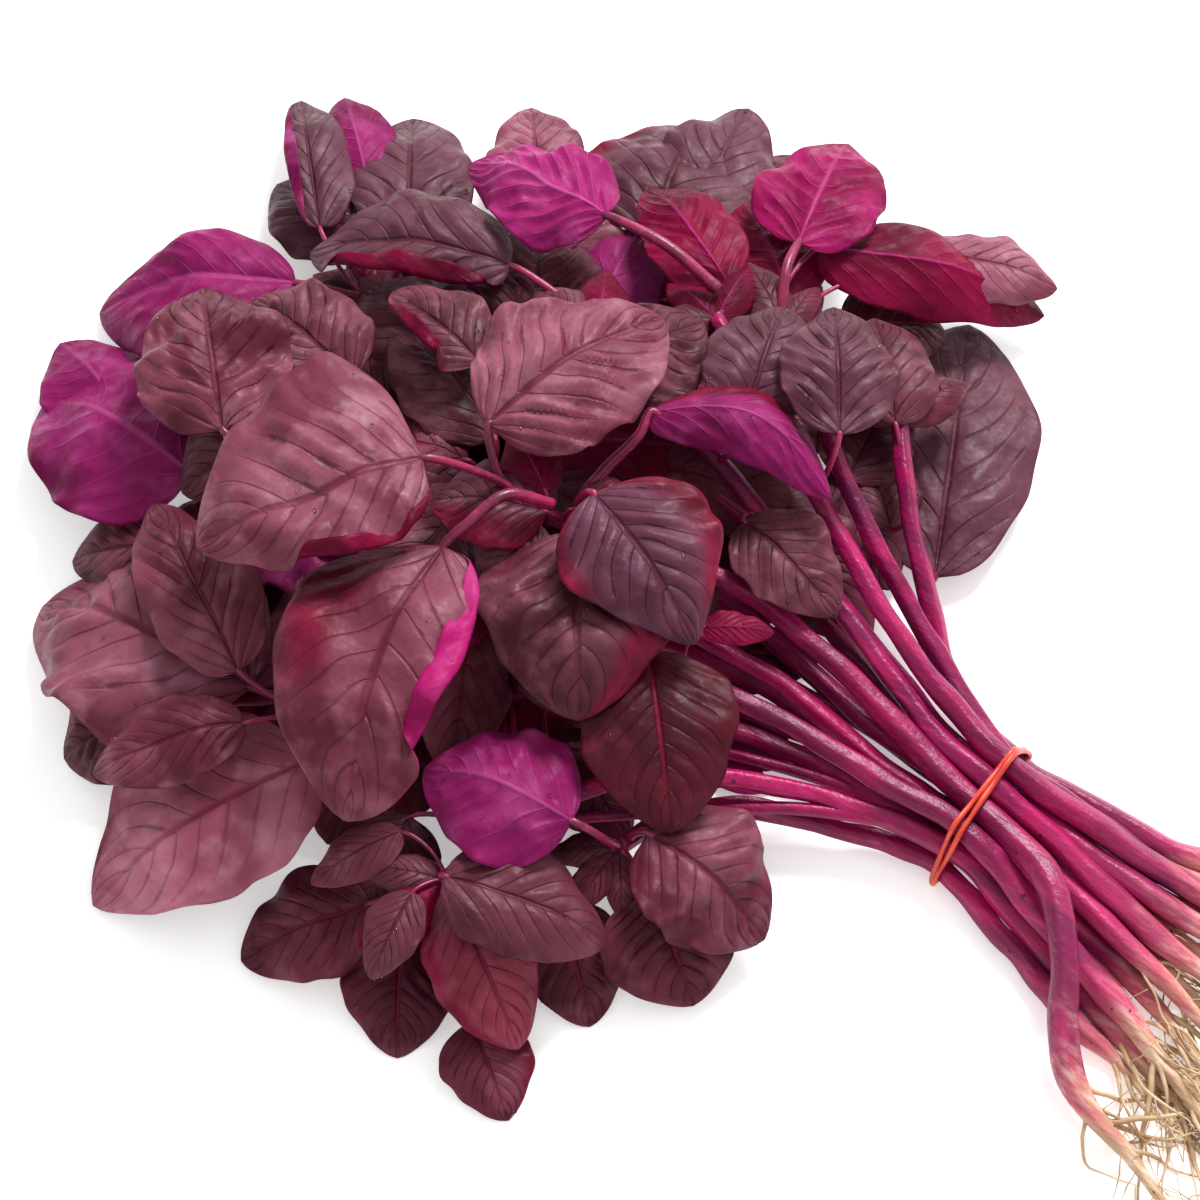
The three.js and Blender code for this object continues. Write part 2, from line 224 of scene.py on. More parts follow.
def stem_material():
    """Wet magenta skin that pales to pink at the collar and to cream on the root."""
    n = Nodes("stem_skin")
    place = n.add("ShaderNodeTexCoord")
    spot = place.outputs["Object"]
    axes = n.add("ShaderNodeSeparateXYZ")
    n.link(spot, axes.inputs[0])
    streak = n.noise(n.stretch(spot, (0.1, 1, 1)), 520, 4, 0.6)
    patch = n.noise(n.stretch(spot, (0.4, 1, 1)), 60, 3, 0.6)
    skin = n.mix(n.ramp(patch, 0.36, 0.62), (0.17, 0.002, 0.050), (0.38, 0.004, 0.092))
    skin = n.mix(n.ramp(streak, 0.5, 0.72, 0, 0.45), skin, (0.48, 0.04, 0.17))
    skin = n.mix(n.ramp(streak, 0.46, 0.28, 0, 0.45), skin, (0.09, 0.002, 0.032))
    # painted highlight: the stems between the band and the collar are painted lighter, standing in for the
    # light on them
    painted_highlight_past_band = n.ramp(axes.outputs[0], 0.005, 0.045, 0, 0.35)
    skin = n.mix(painted_highlight_past_band, skin, (0.56, 0.06, 0.17))
    strand = n.noise(n.stretch(spot, (0.12, 1, 1)), 75, 2)
    skin = n.mix(n.ramp(strand, 0.53, 0.62, 0, 0.62), skin, (0.10, 0.008, 0.050))
    ragged = n.math("MULTIPLY", n.math("SUBTRACT", n.noise(n.stretch(spot, (0.3, 1, 1)), 160), 0.5), 0.04)
    reach = n.math("ADD", axes.outputs[0], ragged)
    pink = n.ramp(reach, 0.042, 0.066)
    cream = n.ramp(reach, 0.056, 0.074)
    colour = n.mix(pink, skin, n.mix(n.ramp(streak, 0.4, 0.7), (0.58, 0.11, 0.16), (0.80, 0.46, 0.40)))
    root = n.mix(n.ramp(streak, 0.4, 0.75), (0.48, 0.29, 0.17), (0.76, 0.58, 0.41))
    colour = n.mix(cream, colour, root)
    speck = n.ramp(n.noise(spot, 330, 2), 0.71, 0.75)
    colour = n.mix(n.math("MULTIPLY", speck, 0.8), colour, (0.03, 0.003, 0.012))
    normal = n.bump(streak, 0.0004, 0.45)
    normal = n.bump(n.noise(n.stretch(spot, (0.5, 1, 1)), 260, 4, 0.65), 0.0010, 0.6, normal)
    roughness = n.ramp(reach, 0.04, 0.07, 0.34, 0.6)
    return n.finish(colour, roughness, normal, Specular_IOR_Level=0.26)


def stalk_material():
    n = Nodes("stalk_skin")
    spot = n.add("ShaderNodeTexCoord").outputs["Object"]
    patch = n.noise(spot, 70, 3)
    colour = n.mix(n.ramp(patch, 0.35, 0.65), (0.11, 0.001, 0.024), (0.27, 0.004, 0.06))
    colour = n.mix(n.ramp(n.noise(spot, 500, 3), 0.5, 0.75, 0, 0.5), colour, (0.38, 0.03, 0.12))
    return n.finish(colour, 0.36, n.bump(n.noise(spot, 800, 3), 0.0002, 0.6), Specular_IOR_Level=0.5)


def rootlet_material():
    n = Nodes("rootlet_skin")
    spot = n.add("ShaderNodeTexCoord").outputs["Object"]
    colour = n.mix(n.ramp(n.noise(spot, 120, 4), 0.35, 0.65), (0.46, 0.29, 0.15), (0.72, 0.55, 0.36))
    colour = n.mix(n.ramp(n.noise(spot, 700, 3), 0.55, 0.8, 0, 0.6), colour, (0.70, 0.36, 0.28))
    return n.finish(colour, 0.62, n.bump(n.noise(spot, 1500, 3), 0.0001, 0.7))


def rubber_material():
    n = Nodes("band_rubber")
    spot = n.add("ShaderNodeTexCoord").outputs["Object"]
    colour = n.mix(n.ramp(n.noise(spot, 90, 3), 0.35, 0.65), (0.52, 0.03, 0.018), (0.74, 0.075, 0.035))
    return n.finish(colour, 0.4, n.bump(n.noise(spot, 1400, 3), 0.0001, 0.6), Specular_IOR_Level=0.45,
                    Subsurface_Weight=0.15, Subsurface_Scale=0.002)


def water_material():
    n = Nodes("water")
    return n.finish((0.98, 0.98, 1.0, 1.0), 0.03, Transmission_Weight=1.0, IOR=1.33)


def floor_material():
    n = Nodes("white_table")
    spot = n.add("ShaderNodeTexCoord").outputs["Object"]
    colour = n.mix(n.ramp(n.noise(spot, 3, 2), 0.3, 0.7), (0.93, 0.93, 0.93), (0.96, 0.96, 0.96))
    return n.finish(colour, 0.7, Specular_IOR_Level=0.1, Emission_Color=(1, 1, 1, 1),
                    Emission_Strength=0.4)


UPPER_SKINS = {
    # painted light: a lighter copy of the mauve leaf colour, standing in for light on a leaf whose upper face
    # turns away from the lamp
    "painted_lit": dict(crease_shade=0.4, base=(0.40, 0.125, 0.185), dark=(0.26, 0.055, 0.095),
                 light=(0.46, 0.20, 0.26), vein=(0.20, 0.016, 0.05)),
    "rose": dict(base=(0.215, 0.055, 0.090), dark=(0.125, 0.018, 0.038), light=(0.29, 0.11, 0.155),
                 vein=(0.10, 0.004, 0.022)),
    "mauve": dict(base=(0.165, 0.034, 0.060), dark=(0.085, 0.009, 0.022), light=(0.235, 0.075, 0.110),
                  vein=(0.080, 0.003, 0.016)),
    "plum": dict(base=(0.092, 0.022, 0.044), dark=(0.050, 0.008, 0.020), light=(0.145, 0.050, 0.086),
                 vein=(0.055, 0.003, 0.016)),
    "dusk": dict(crease_shade=0.35, base=(0.092, 0.026, 0.042), dark=(0.062, 0.013, 0.024),
                 light=(0.136, 0.052, 0.074), vein=(0.060, 0.005, 0.016)),
    "brown": dict(base=(0.110, 0.022, 0.038), dark=(0.052, 0.007, 0.015), light=(0.190, 0.058, 0.082),
                  vein=(0.060, 0.003, 0.014)),
    "russet": dict(base=(0.24, 0.028, 0.058), dark=(0.13, 0.010, 0.026), light=(0.31, 0.065, 0.10),
                   vein=(0.13, 0.003, 0.022)),
    "maroon": dict(base=(0.125, 0.018, 0.036), dark=(0.066, 0.006, 0.017), light=(0.190, 0.048, 0.072),
                   vein=(0.130, 0.003, 0.020)),
    "wine": dict(crease_shade=0.2, base=(0.072, 0.003, 0.012), dark=(0.034, 0.001, 0.006),
                 light=(0.115, 0.010, 0.024), vein=(0.160, 0.002, 0.022)),
}
UNDER_SKINS = {
    "crimson": dict(base=(0.155, 0.001, 0.026), dark=(0.070, 0.001, 0.012), light=(0.20, 0.002, 0.042),
                    vein=(0.28, 0.010, 0.10)),
    "cerise": dict(base=(0.22, 0.002, 0.062), dark=(0.13, 0.001, 0.032), light=(0.28, 0.006, 0.095),
                   vein=(0.34, 0.03, 0.15)),
    "magenta": dict(base=(0.33, 0.006, 0.110), dark=(0.17, 0.002, 0.048), light=(0.42, 0.04, 0.19),
                    vein=(0.40, 0.05, 0.20)),
    "orchid": dict(base=(0.25, 0.010, 0.105), dark=(0.11, 0.003, 0.045), light=(0.35, 0.045, 0.18),
                   vein=(0.40, 0.06, 0.21)),
    "violet": dict(base=(0.20, 0.007, 0.083), dark=(0.115, 0.002, 0.042), light=(0.29, 0.036, 0.15),
                   vein=(0.31, 0.04, 0.16)),
}


# ---- Leaves ------------------------------------------------------------------------------------------
# The same table as the CAD model's, in the same order, with the finer shaping added.
# skin: look of the upper face (of the underside for a leaf with flip, whose underside faces up).
# folds: side (-1 or 1), where across the blade the margin folds over, degrees turned, from and to where
# along the blade. painted_backlight: the same places, for a red glow painted where light would shine through
# a thin margin.
# lean: how much wider the side +1 is than the side -1. pucker, crinkle and ripple are heights in
# millimetres: between side veins, all over, and along the margins. point: how much narrower the blade
# gets towards its tip. heel: where the blade is widest. groove: depth of a trough along the midrib.
# sway: how far the midrib bends sideways. under: skin of the lower face. stalk: points that the leaf's
# stalk passes through, from the blade to the stem. roll: turn about the midrib, in degrees.

LOW_LEAVES = [
    dict(base=(-70, -118, 4), tip=(-49, -132, 0), width=23, arch=3, cup=2.5, tone="maroon", pucker=0.5,
         painted_backlight=[(1, 0.75, 0.2, 0.9)]),
    dict(base=(-97, -111, 7), tip=(-80, -135, 0), width=28, arch=3, cup=2.5, tone="maroon"),
    dict(base=(-107, -110, 9), tip=(-126, -138, 0), width=30, arch=4, cup=3, tone="maroon", pucker=0.4),
    dict(base=(-70, -82, 9), tip=(-47, -101, 0), width=28, arch=3, cup=2, tone="maroon"),
    dict(base=(-53, -68, 10), tip=(-29, -83, 0), width=37, arch=3, cup=3, tone="maroon", ripple=1.6),
    dict(base=(-46, 49, 7), tip=(-83, 123, 0), width=42, arch=5, cup=3, tone="mauve", skin="dusk",
         pucker=0.25, crinkle=0.7, ripple=0.8, point=-0.3),
    dict(base=(-62, -27, 3), tip=(-47, -22, 1), width=10, arch=1, cup=1, tone="violet", skin="magenta",
         flip=True, crinkle=0.2),
    dict(base=(-215, 47, 18), tip=(-246, 88, 2), width=36, arch=6, cup=3, tone="mauve", skin="dusk"),
    dict(base=(-163, 86, 18), tip=(-179, 132, 3), width=50, arch=6, cup=4, tone="mauve", skin="dusk",
         pucker=0.6, painted_backlight=[(1, 0.8, 0.1, 0.9)]),
    dict(base=(-190, 73, 16), tip=(-218, 106, 6), width=28, arch=5, cup=3, tone="mauve", skin="rose",
         ripple=3),
]
HIGH_LEAVES = [
    dict(base=(-59, -60, 22), tip=(-24, -60, 4), width=38, arch=6, cup=4, tone="maroon", skin="mauve",
         ripple=2.2, crinkle=1.2),
    dict(base=(-88, -101, 20), tip=(-56, -118, 4), width=28, arch=6, cup=4, tone="crimson",
         skin="russet", ripple=2.2, painted_backlight=[(-1, 0.7, 0, 1)]),
    dict(base=(-91, -100, 24), tip=(-53, -86, 8), width=30, arch=6, cup=4, tone="brown",
         crinkle=1.6),
    dict(base=(-96, -106, 26), tip=(-92, -128, 20), width=15, arch=3, cup=2, tone="brown", pucker=0.9),
    dict(base=(-108, -95, 26), tip=(-119, -117, 20), width=14, arch=3, cup=3, tone="mauve"),
    dict(base=(-74, -71, 27), tip=(-113, -79, 22), width=38, arch=8, cup=5, tone="violet", flip=True,
         ripple=1.6),
    dict(base=(-235, 34, 16), tip=(-272, 71, 3), width=24, arch=6, cup=4, tone="brown", skin="dusk",
         folds=[(1, 0.4, 140, 0, 1)], under="violet"),
    dict(base=(-230, 17, 20), tip=(-275, -14, 3), width=44, arch=10, cup=7, tone="violet", flip=True,
         pucker=0.5, groove=-2.4, lean=0.25),
    dict(base=(-213, -46, 22), tip=(-268, -44, 3), width=54, arch=9, cup=6, tone="violet", flip=True,
         pucker=0.6, ripple=2),
    dict(base=(-139, -92, 22), tip=(-165, -148, 2), width=54, arch=10, cup=6, tone="mauve", skin="painted_lit",
         pucker=0.7, painted_backlight=[(-1, 0.82, 0.2, 0.95)], lean=-0.12, point=0.3),
    dict(base=(-162, -86, 26), tip=(-229, -92, 3), width=58, arch=11, cup=6, tone="brown", skin="rose",
         crinkle=2.4, ripple=3.6, pucker=1.5),
    dict(base=(-154, -97, 24), tip=(-180, -126, 12), width=24, arch=5, cup=3, tone="brown",
         skin="mauve", crinkle=1.6),
    dict(base=(-164, -87, 34), tip=(-215, -60, 26), width=30, arch=5, cup=4, tone="brown",
         skin="mauve", pucker=1.8, crinkle=1.8, ripple=2.4),
    dict(base=(-198, -22, 26), tip=(-211, -53, 18), width=32, arch=4, cup=3, tone="maroon", skin="brown"),
    dict(base=(-194, -4, 32), tip=(-233, 4, 26), width=34, arch=5, cup=3, tone="brown", crinkle=2.4,
         pucker=1.4),
    dict(base=(-208, -38, 32), tip=(-243, -4, 24), width=42, arch=6, cup=5, tone="brown",
         skin="mauve", crinkle=1.8, ripple=2),
    dict(base=(-181, 48, 34), tip=(-232, 26, 22), width=38, arch=9, cup=6, tone="mauve", skin="dusk",
         folds=[(1, 0.5, 135, 0.05, 0.85)], pucker=0.5),
    dict(base=(-167, 16, 32), tip=(-200, 22, 28), width=26, arch=3, cup=2, tone="brown",
         folds=[(1, 0.45, 140, 0.2, 1)]),
    dict(base=(-138, 22, 34), tip=(-128, 60, 30), width=36, arch=4, cup=3, tone="brown", crinkle=2.2),
    dict(base=(-88, 21, 28), tip=(-55, 15, 23), width=27, arch=4, cup=2, tone="brown", ripple=1.6),
    dict(base=(-100, 38, 32), tip=(-113, 75, 27), width=32, arch=5, cup=3, tone="mauve", skin="dusk",
         crinkle=1.8),
    dict(base=(-77, 46, 32), tip=(-101, 79, 27), width=30, arch=5, cup=3, tone="mauve", skin="dusk",
         crinkle=1.8),
    dict(base=(-121, 103, 28), tip=(-66, 133, 8), width=28, arch=10, cup=7, tone="crimson", flip=True),
    dict(base=(-124, 98, 34), tip=(-136, 141, 20), width=36, arch=6, cup=4, tone="crimson",
         skin="cerise", flip=True, stalk=[(-121, 88, 37), (-114, 75, 31)]),
    dict(base=(-132, 77, 34), tip=(-170, 94, 25), width=27, arch=6, cup=3, tone="crimson", flip=True),
    dict(base=(-166, 70, 38), tip=(-210, 68, 27), width=34, arch=7, cup=6, tone="violet",
         skin="orchid", flip=True, pucker=2.2, crinkle=1.6, ripple=3.5, point=0.3,
         stalk=[(-148, 71, 45), (-131, 71, 39)]),
    dict(base=(-79, -10, 34), tip=(-64, 0, 32), width=10, arch=2, cup=1, tone="crimson", flip=True,
         crinkle=0.2),
    dict(base=(-84, -26, 38), tip=(-54, -58, 26), width=40, arch=6, cup=4, tone="maroon", skin="wine",
         pucker=0.3, crinkle=0.7, ripple=0.6),
    dict(base=(-116, -12, 40), tip=(-86, -52, 36), width=50, arch=8, cup=5, tone="maroon",
         skin="brown", pucker=1.3, crinkle=1.8, painted_backlight=[(1, 0.5, 0.2, 1)]),
    dict(base=(-137, -38, 40), tip=(-114, -107, 31), width=56, arch=10, cup=7, sway=-4, tone="mauve",
         folds=[(1, 0.62, 150, 0.0, 0.75)], under="magenta", pucker=0.7,
         painted_backlight=[(-1, 0.42, 0, 0.62)], stalk=[(-135, -30, 57), (-132, -19, 58),
                                             (-124, -11, 50)]),
    dict(base=(-153, -25, 44), tip=(-186, -73, 34), width=60, arch=9, cup=6, sway=3, tone="mauve",
         skin="rose", pucker=1.2, lean=-0.28, heel=0.6, crinkle=1.2, ripple=2,
         folds=[(1, 0.72, 120, 0.02, 0.6)]),
    dict(base=(-119, 24, 44), tip=(-71, 34, 36), width=22, arch=7, cup=6, tone="violet", flip=True,
         sway=8, ripple=0.7, painted_backlight=[(1, 0.5, 0, 0.7)],
         stalk=[(-118, 18, 51), (-121, 8, 45), (-122, 0, 42)]),
    dict(base=(-115, -6, 48), tip=(-73, -22, 40), width=44, arch=6, cup=5, tone="mauve",
         skin="plum", pucker=1.2, point=0.4, lean=0.1, painted_backlight=[(1, 0.7, 0.0, 0.9), (-1, 0.75, 0, 0.5)]),
    dict(base=(-148, -5, 48), tip=(-133, 49, 42), width=46, arch=7, cup=5, tone="mauve", skin="rose",
         pucker=1.7, crinkle=1.4, ripple=2),
]


# Leaves of the visual model only, that fill the outline of the heap between the leaves above.
EXTRA_LEAVES = [
    dict(base=(-223, 40, 14), tip=(-262, 47, 4), width=32, arch=4, cup=3, tone="brown", skin="dusk"),
    dict(base=(-234, 54, 16), tip=(-262, 78, 10), width=24, arch=5, cup=4, tone="violet", flip=True),
    dict(base=(-157, 96, 14), tip=(-170, 143, 7), width=34, arch=4, cup=3, tone="mauve", skin="dusk",
         ripple=3.5),
    dict(base=(-140, 92, 12), tip=(-150, 140, 4), width=36, arch=4, cup=3, tone="mauve", skin="brown"),
    dict(base=(-119, 88, 24), tip=(-148, 108, 20), width=32, arch=4, cup=4, tone="crimson", flip=True),
    dict(base=(-106, 94, 14), tip=(-85, 114, 6), width=30, arch=4, cup=3, tone="maroon", skin="wine"),
    dict(base=(-78, 55, 16), tip=(-84, 86, 12), width=26, arch=3, cup=3, tone="brown"),
    dict(base=(-206, -62, 16), tip=(-230, -78, 6), width=27, arch=4, cup=3, tone="brown"),
    dict(base=(-242, -39, 12), tip=(-277, -28, 4), width=32, arch=5, cup=4, tone="violet", flip=True),
    dict(base=(-181, -100, 14), tip=(-196, -122, 4), width=34, arch=4, cup=3, tone="brown"),
    dict(base=(-99, -48, 10), tip=(-68, -56, 4), width=26, arch=3, cup=3, tone="maroon"),
    dict(base=(-98, 123, 22), tip=(-66, 138, 15), width=23, arch=4, cup=5, tone="mauve", skin="rose"),
    dict(base=(-113, -86, 12), tip=(-109, -110, 6), width=26, arch=3, cup=3, tone="brown"),
    dict(base=(-125, -12, 47), tip=(-152, -24, 42), width=27, arch=3, cup=3, tone="brown",
         painted_backlight=[(1, 0.3, 0, 1)], pucker=1.4),
    dict(base=(-125, -15, 45), tip=(-126, -38, 38), width=20, arch=3, cup=3, tone="brown", pucker=1.2),
    dict(base=(-128, -8, 48), tip=(-146, 2, 46), width=15, arch=3, cup=3, tone="crimson", flip=True),
    dict(base=(-120, -8, 48), tip=(-106, 4, 47), width=16, arch=3, cup=3, tone="maroon", skin="wine"),
    dict(base=(-74, 70, 28), tip=(-98, 96, 24), width=27, arch=4, cup=4, tone="brown", ripple=2),
    dict(base=(-62, 52, 12), tip=(-84, 68, 9), width=24, arch=4, cup=4, tone="brown"),
    dict(base=(-101, -58, 20), tip=(-84, -80, 15), width=26, arch=4, cup=4, tone="maroon"),
    dict(base=(-90, -8, 5), tip=(-58, 14, 1), width=24, arch=2, cup=2, tone="maroon", skin="wine"),
    dict(base=(-80, -18, 4), tip=(-47, -13, 1), width=22, arch=2, cup=2, tone="violet", flip=True),
    dict(base=(-84, 60, 12), tip=(-54, 40, 5), width=26, arch=3, cup=3, tone="brown"),
    dict(base=(-80, 34, 10), tip=(-50, 24, 4), width=24, arch=3, cup=3, tone="maroon"),
    dict(base=(-95, 38, 13), tip=(-60, 34, 8), width=30, arch=3, cup=3, tone="brown"),
    dict(base=(-104, 8, 12), tip=(-72, 20, 5), width=30, arch=3, cup=3, tone="maroon", skin="wine"),
    dict(base=(-132, -80, 12), tip=(-112, -70, 6), width=30, arch=3, cup=3, tone="maroon", skin="wine"),
]


def blade_outline(t, heel=0.78):
    """Half-width of a blade as a share of its widest; a smaller heel moves the widest part to the stalk."""
    return np.sin(np.pi * t ** heel) ** 0.62


def leaf_axes(leaf):
    """Vectors along the midrib, across the blade and out of its upper face."""
    along = np.subtract(leaf["tip"], leaf["base"]).astype(float)
    across = np.array((-along[1], along[0], 0.0))
    across /= np.linalg.norm(across)
    turn = math.radians(leaf.get("roll", 0))
    axis = along / np.linalg.norm(along)
    across = across * math.cos(turn) + np.cross(axis, across) * math.sin(turn)
    out = np.cross(along, across)
    return along, across, out / np.linalg.norm(out)


def plain_blade(leaf, t, s):
    """The CAD model's blade: middle-surface points for arrays t (0 to 1) and s (-1 to 1)."""
    along, across, out = leaf_axes(leaf)
    outline = blade_outline(np.clip(t, 0.001, 0.999))
    narrowest = (STALK_WIDTH + (TIP_WIDTH - STALK_WIDTH) * t) / 2
    half = np.maximum(leaf["width"] / 2 * outline, narrowest)
    bow = np.sin(np.pi * t)
    sideways = half * s + leaf.get("sway", 0) * bow
    upwards = leaf["arch"] * bow - leaf["cup"] * s * s * outline
    return (np.array(leaf["base"], float) + along * t[..., None] + across * sideways[..., None]
            + out * upwards[..., None])


def lift_of(leaf, node):
    """How far the CAD model raised this leaf when it was laid on the heap, in millimetres."""
    t, s = np.meshgrid(np.linspace(0, 1, LEAF_STEPS + 1), np.linspace(-1, 1, LEAF_COLUMNS + 1))
    out = leaf_axes(leaf)[2]
    lowest = plain_blade(leaf, t, s)[..., 2].min() - abs(out[2]) * LEAF_THICKNESS / 2
    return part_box(node)[0][2] / MM - lowest


def ripples(rng, u, v, waves, scale):
    """Smooth seeded noise of height about 1 over two arrays of millimetres."""
    total = np.zeros_like(u)
    for _ in range(waves):
        turn = rng.uniform(0, 2 * math.pi)
        pitch = scale * rng.uniform(0.6, 1.6)
        total += np.sin((u * math.cos(turn) + v * math.sin(turn)) * 2 * math.pi / pitch
                        + rng.uniform(0, 2 * math.pi))
    return total / math.sqrt(waves)


def along_band(t, begin, end):
    """1 between begin and end along the blade, falling softly to 0 outside."""
    rise = np.clip((t - begin) / 0.12 + 0.5, 0, 1) if begin > 0 else 1
    fall = np.clip((end - t) / 0.12 + 0.5, 0, 1) if end < 1 else 1
    return np.minimum(rise, fall)


def crease(x):
    """The size of x with its sharp valley at zero rounded a little."""
    return np.sqrt(x * x + 0.05)


def fine_blade(leaf, rng, steps, columns):
    """Upper-surface points of the finished blade on a grid, with t, s, vein phase and the painted red glow of
    light through the blade.
    """
    t, s = np.meshgrid(np.linspace(0, 1, steps + 1), np.linspace(-1, 1, columns + 1), indexing="ij")
    along, across, out = leaf_axes(leaf)
    length = np.linalg.norm(along)
    reach = np.abs(s)
    outline = blade_outline(np.clip(t, 0.0005, 0.9995), leaf.get("heel", 0.78))
    outline = outline * (1 - leaf.get("point", 0.08) * t * t)
    narrowest = (STALK_WIDTH * 0.6 + (0.4 - STALK_WIDTH * 0.6) * t) / 2
    start = rng.uniform(0, 6)
    uneven = 0.04 * np.sin(t * 9 + start + 2 * s) + 0.022 * np.sin(t * 23 - start + s)
    uneven = uneven + leaf.get("lean", 0) * s
    half = np.maximum(leaf["width"] / 2 * outline * (1 + uneven * reach), narrowest)
    bow = np.sin(np.pi * t)
    size = min(leaf["width"] / 40, 1.1)
    facing = -1 if leaf.get("flip") else 1

    wander = 0.16 * ripples(rng, t * length, s * half, 4, 26)
    phase = (t - VEIN_LEAN * reach ** 1.1) * VEIN_PAIRS + wander + 0.25 * (s > 0)
    between = crease(np.cos(np.pi * phase))
    swell = np.clip(reach * 6, 0, 1) * (1 - reach) ** 0.6 * np.clip(outline * 1.3, 0, 1)
    height = leaf["arch"] * bow - leaf["cup"] * s * s * outline
    height += facing * leaf.get("groove", 1.5) * size * (1 - np.exp(-reach / 0.13)) * outline
    height += facing * leaf.get("pucker", 0.75) * size * (between - 0.6) * swell
    crinkle = leaf.get("crinkle", 1.15) * size
    pleats = ripples(rng, phase * 8, reach * 14, 5, 15)
    height += crinkle * 0.7 * (0.8 - crease(pleats)) * np.clip(reach * 4, 0, 1) * outline
    height += crinkle * 0.9 * ripples(rng, t * length, s * half, 5, 26) * outline
    height += crinkle * 0.35 * (0.8 - crease(ripples(rng, t * length, s * half, 6, 14))) * outline
    side_start = np.where(s > 0, start, start + 2)
    wave = np.sin(t * 12 + side_start) + 0.5 * np.sin(t * 26 + 2 * side_start)
    height += leaf.get("ripple", 1.5) * size * reach ** 2.5 * outline * wave

    sideways = half * s
    for side, begin, degrees, first, last in leaf.get("folds", []):
        # past begin the margin bends round a small arc and then runs straight, underside up
        turn = np.radians(degrees) * along_band(t, first, last) * np.clip(outline * 1.5, 0, 1)
        bend = 1.5
        walked = np.maximum(s * side - begin, 0) * half
        theta = np.minimum(walked / bend, turn)
        straight = walked - theta * bend
        inside = s * side > begin
        sideways = np.where(inside, side * (half * begin + bend * np.sin(theta)
                                            + straight * np.cos(theta)), sideways)
        height += np.where(inside, bend * (1 - np.cos(theta)) + straight * np.sin(theta), 0)
    sideways = sideways + leaf.get("sway", 0) * bow
    # painted backlight: redness painted at random near the margins and at the leaf's listed places, standing
    # in for light shining through the thin blade
    painted_backlight = 0.25 * np.clip(ripples(rng, t * length, s * half, 5, 18) * reach - 0.4, 0, 1)
    for side, begin, first, last in leaf.get("painted_backlight", []):
        glow = np.clip((s * side - begin) / 0.22 + 0.35, 0, 1) * along_band(t, first, last)
        painted_backlight = np.maximum(painted_backlight, glow)
    points = (np.array(leaf["base"], float) + along * t[..., None] + across * sideways[..., None]
              + out * height[..., None])
    return points, t, s, phase, painted_backlight


def grid_normals(points):
    normals = np.cross(np.gradient(points, axis=0), np.gradient(points, axis=1))
    return normals / np.maximum(np.linalg.norm(normals, axis=2, keepdims=True), 1e-9)


def make_object(name, vertices, faces, materials, face_materials=None, uvs=None, values=None):
    """A smooth mesh object from millimetre vertices. uvs and values hold one entry for each vertex."""
    mesh = bpy.data.meshes.new(name)
    mesh.from_pydata((np.asarray(vertices) * MM).tolist(), [], faces)
    for material in materials:
        mesh.materials.append(material)
    if face_materials is not None:
        mesh.polygons.foreach_set("material_index", face_materials)
    if uvs is not None:
        corners = np.empty(len(mesh.loops), dtype=np.int32)
        mesh.loops.foreach_get("vertex_index", corners)
        layer = mesh.uv_layers.new(name="leaf")
        layer.data.foreach_set("uv", np.asarray(uvs)[corners].ravel())
    for key, numbers in (values or {}).items():
        mesh.attributes.new(key, "FLOAT", "POINT").data.foreach_set("value", np.asarray(numbers, np.float32))
    mesh.polygons.foreach_set("use_smooth", [True] * len(mesh.polygons))
    mesh.update()
    piece = bpy.data.objects.new(name, mesh)
    bpy.context.collection.objects.link(piece)
    return piece


def blade_mesh(leaf, rng, lift, steps, columns):
    """One leaf blade as a thin solid: vertices, faces, face materials (0 upper, 1 under), UVs, values."""
    points, t, s, phase, painted_backlight = fine_blade(leaf, rng, steps, columns)
    points[..., 2] += lift
    under = points - grid_normals(points) * BLADE_THICKNESS
    rows, cols = t.shape
    count = rows * cols
    index = np.arange(count).reshape(rows, cols)
    a, b, c, d = index[:-1, :-1], index[1:, :-1], index[1:, 1:], index[:-1, 1:]
    upper = np.stack((a, b, c, d), -1).reshape(-1, 4)
    lower = upper[:, ::-1] + count
    edge = np.concatenate((index[0, :-1], index[:-1, -1], index[-1, :0:-1], index[:0:-1, 0]))
    following = np.roll(edge, -1)
    rim = np.stack((edge, following, following + count, edge + count), -1)
    vertices = np.concatenate((points.reshape(-1, 3), under.reshape(-1, 3)))
    vertices[:, 2] = np.maximum(vertices[:, 2], 0.05)
    faces = np.concatenate((upper, lower, rim))
    kinds = [0] * len(upper) + [1] * (len(lower) + len(rim))
    uvs = np.tile(np.stack((t, s * 0.5 + 0.5), -1).reshape(-1, 2), (2, 1))
    values = {"phase": np.tile(phase.ravel(), 2), "painted_backlight": np.tile(painted_backlight.ravel(), 2)}
    return vertices, faces.tolist(), kinds, uvs, values


# ---- Stems -------------------------------------------------------------------------------------------
# The same routes as the CAD model's, in millimetres: at is column and row at the band.

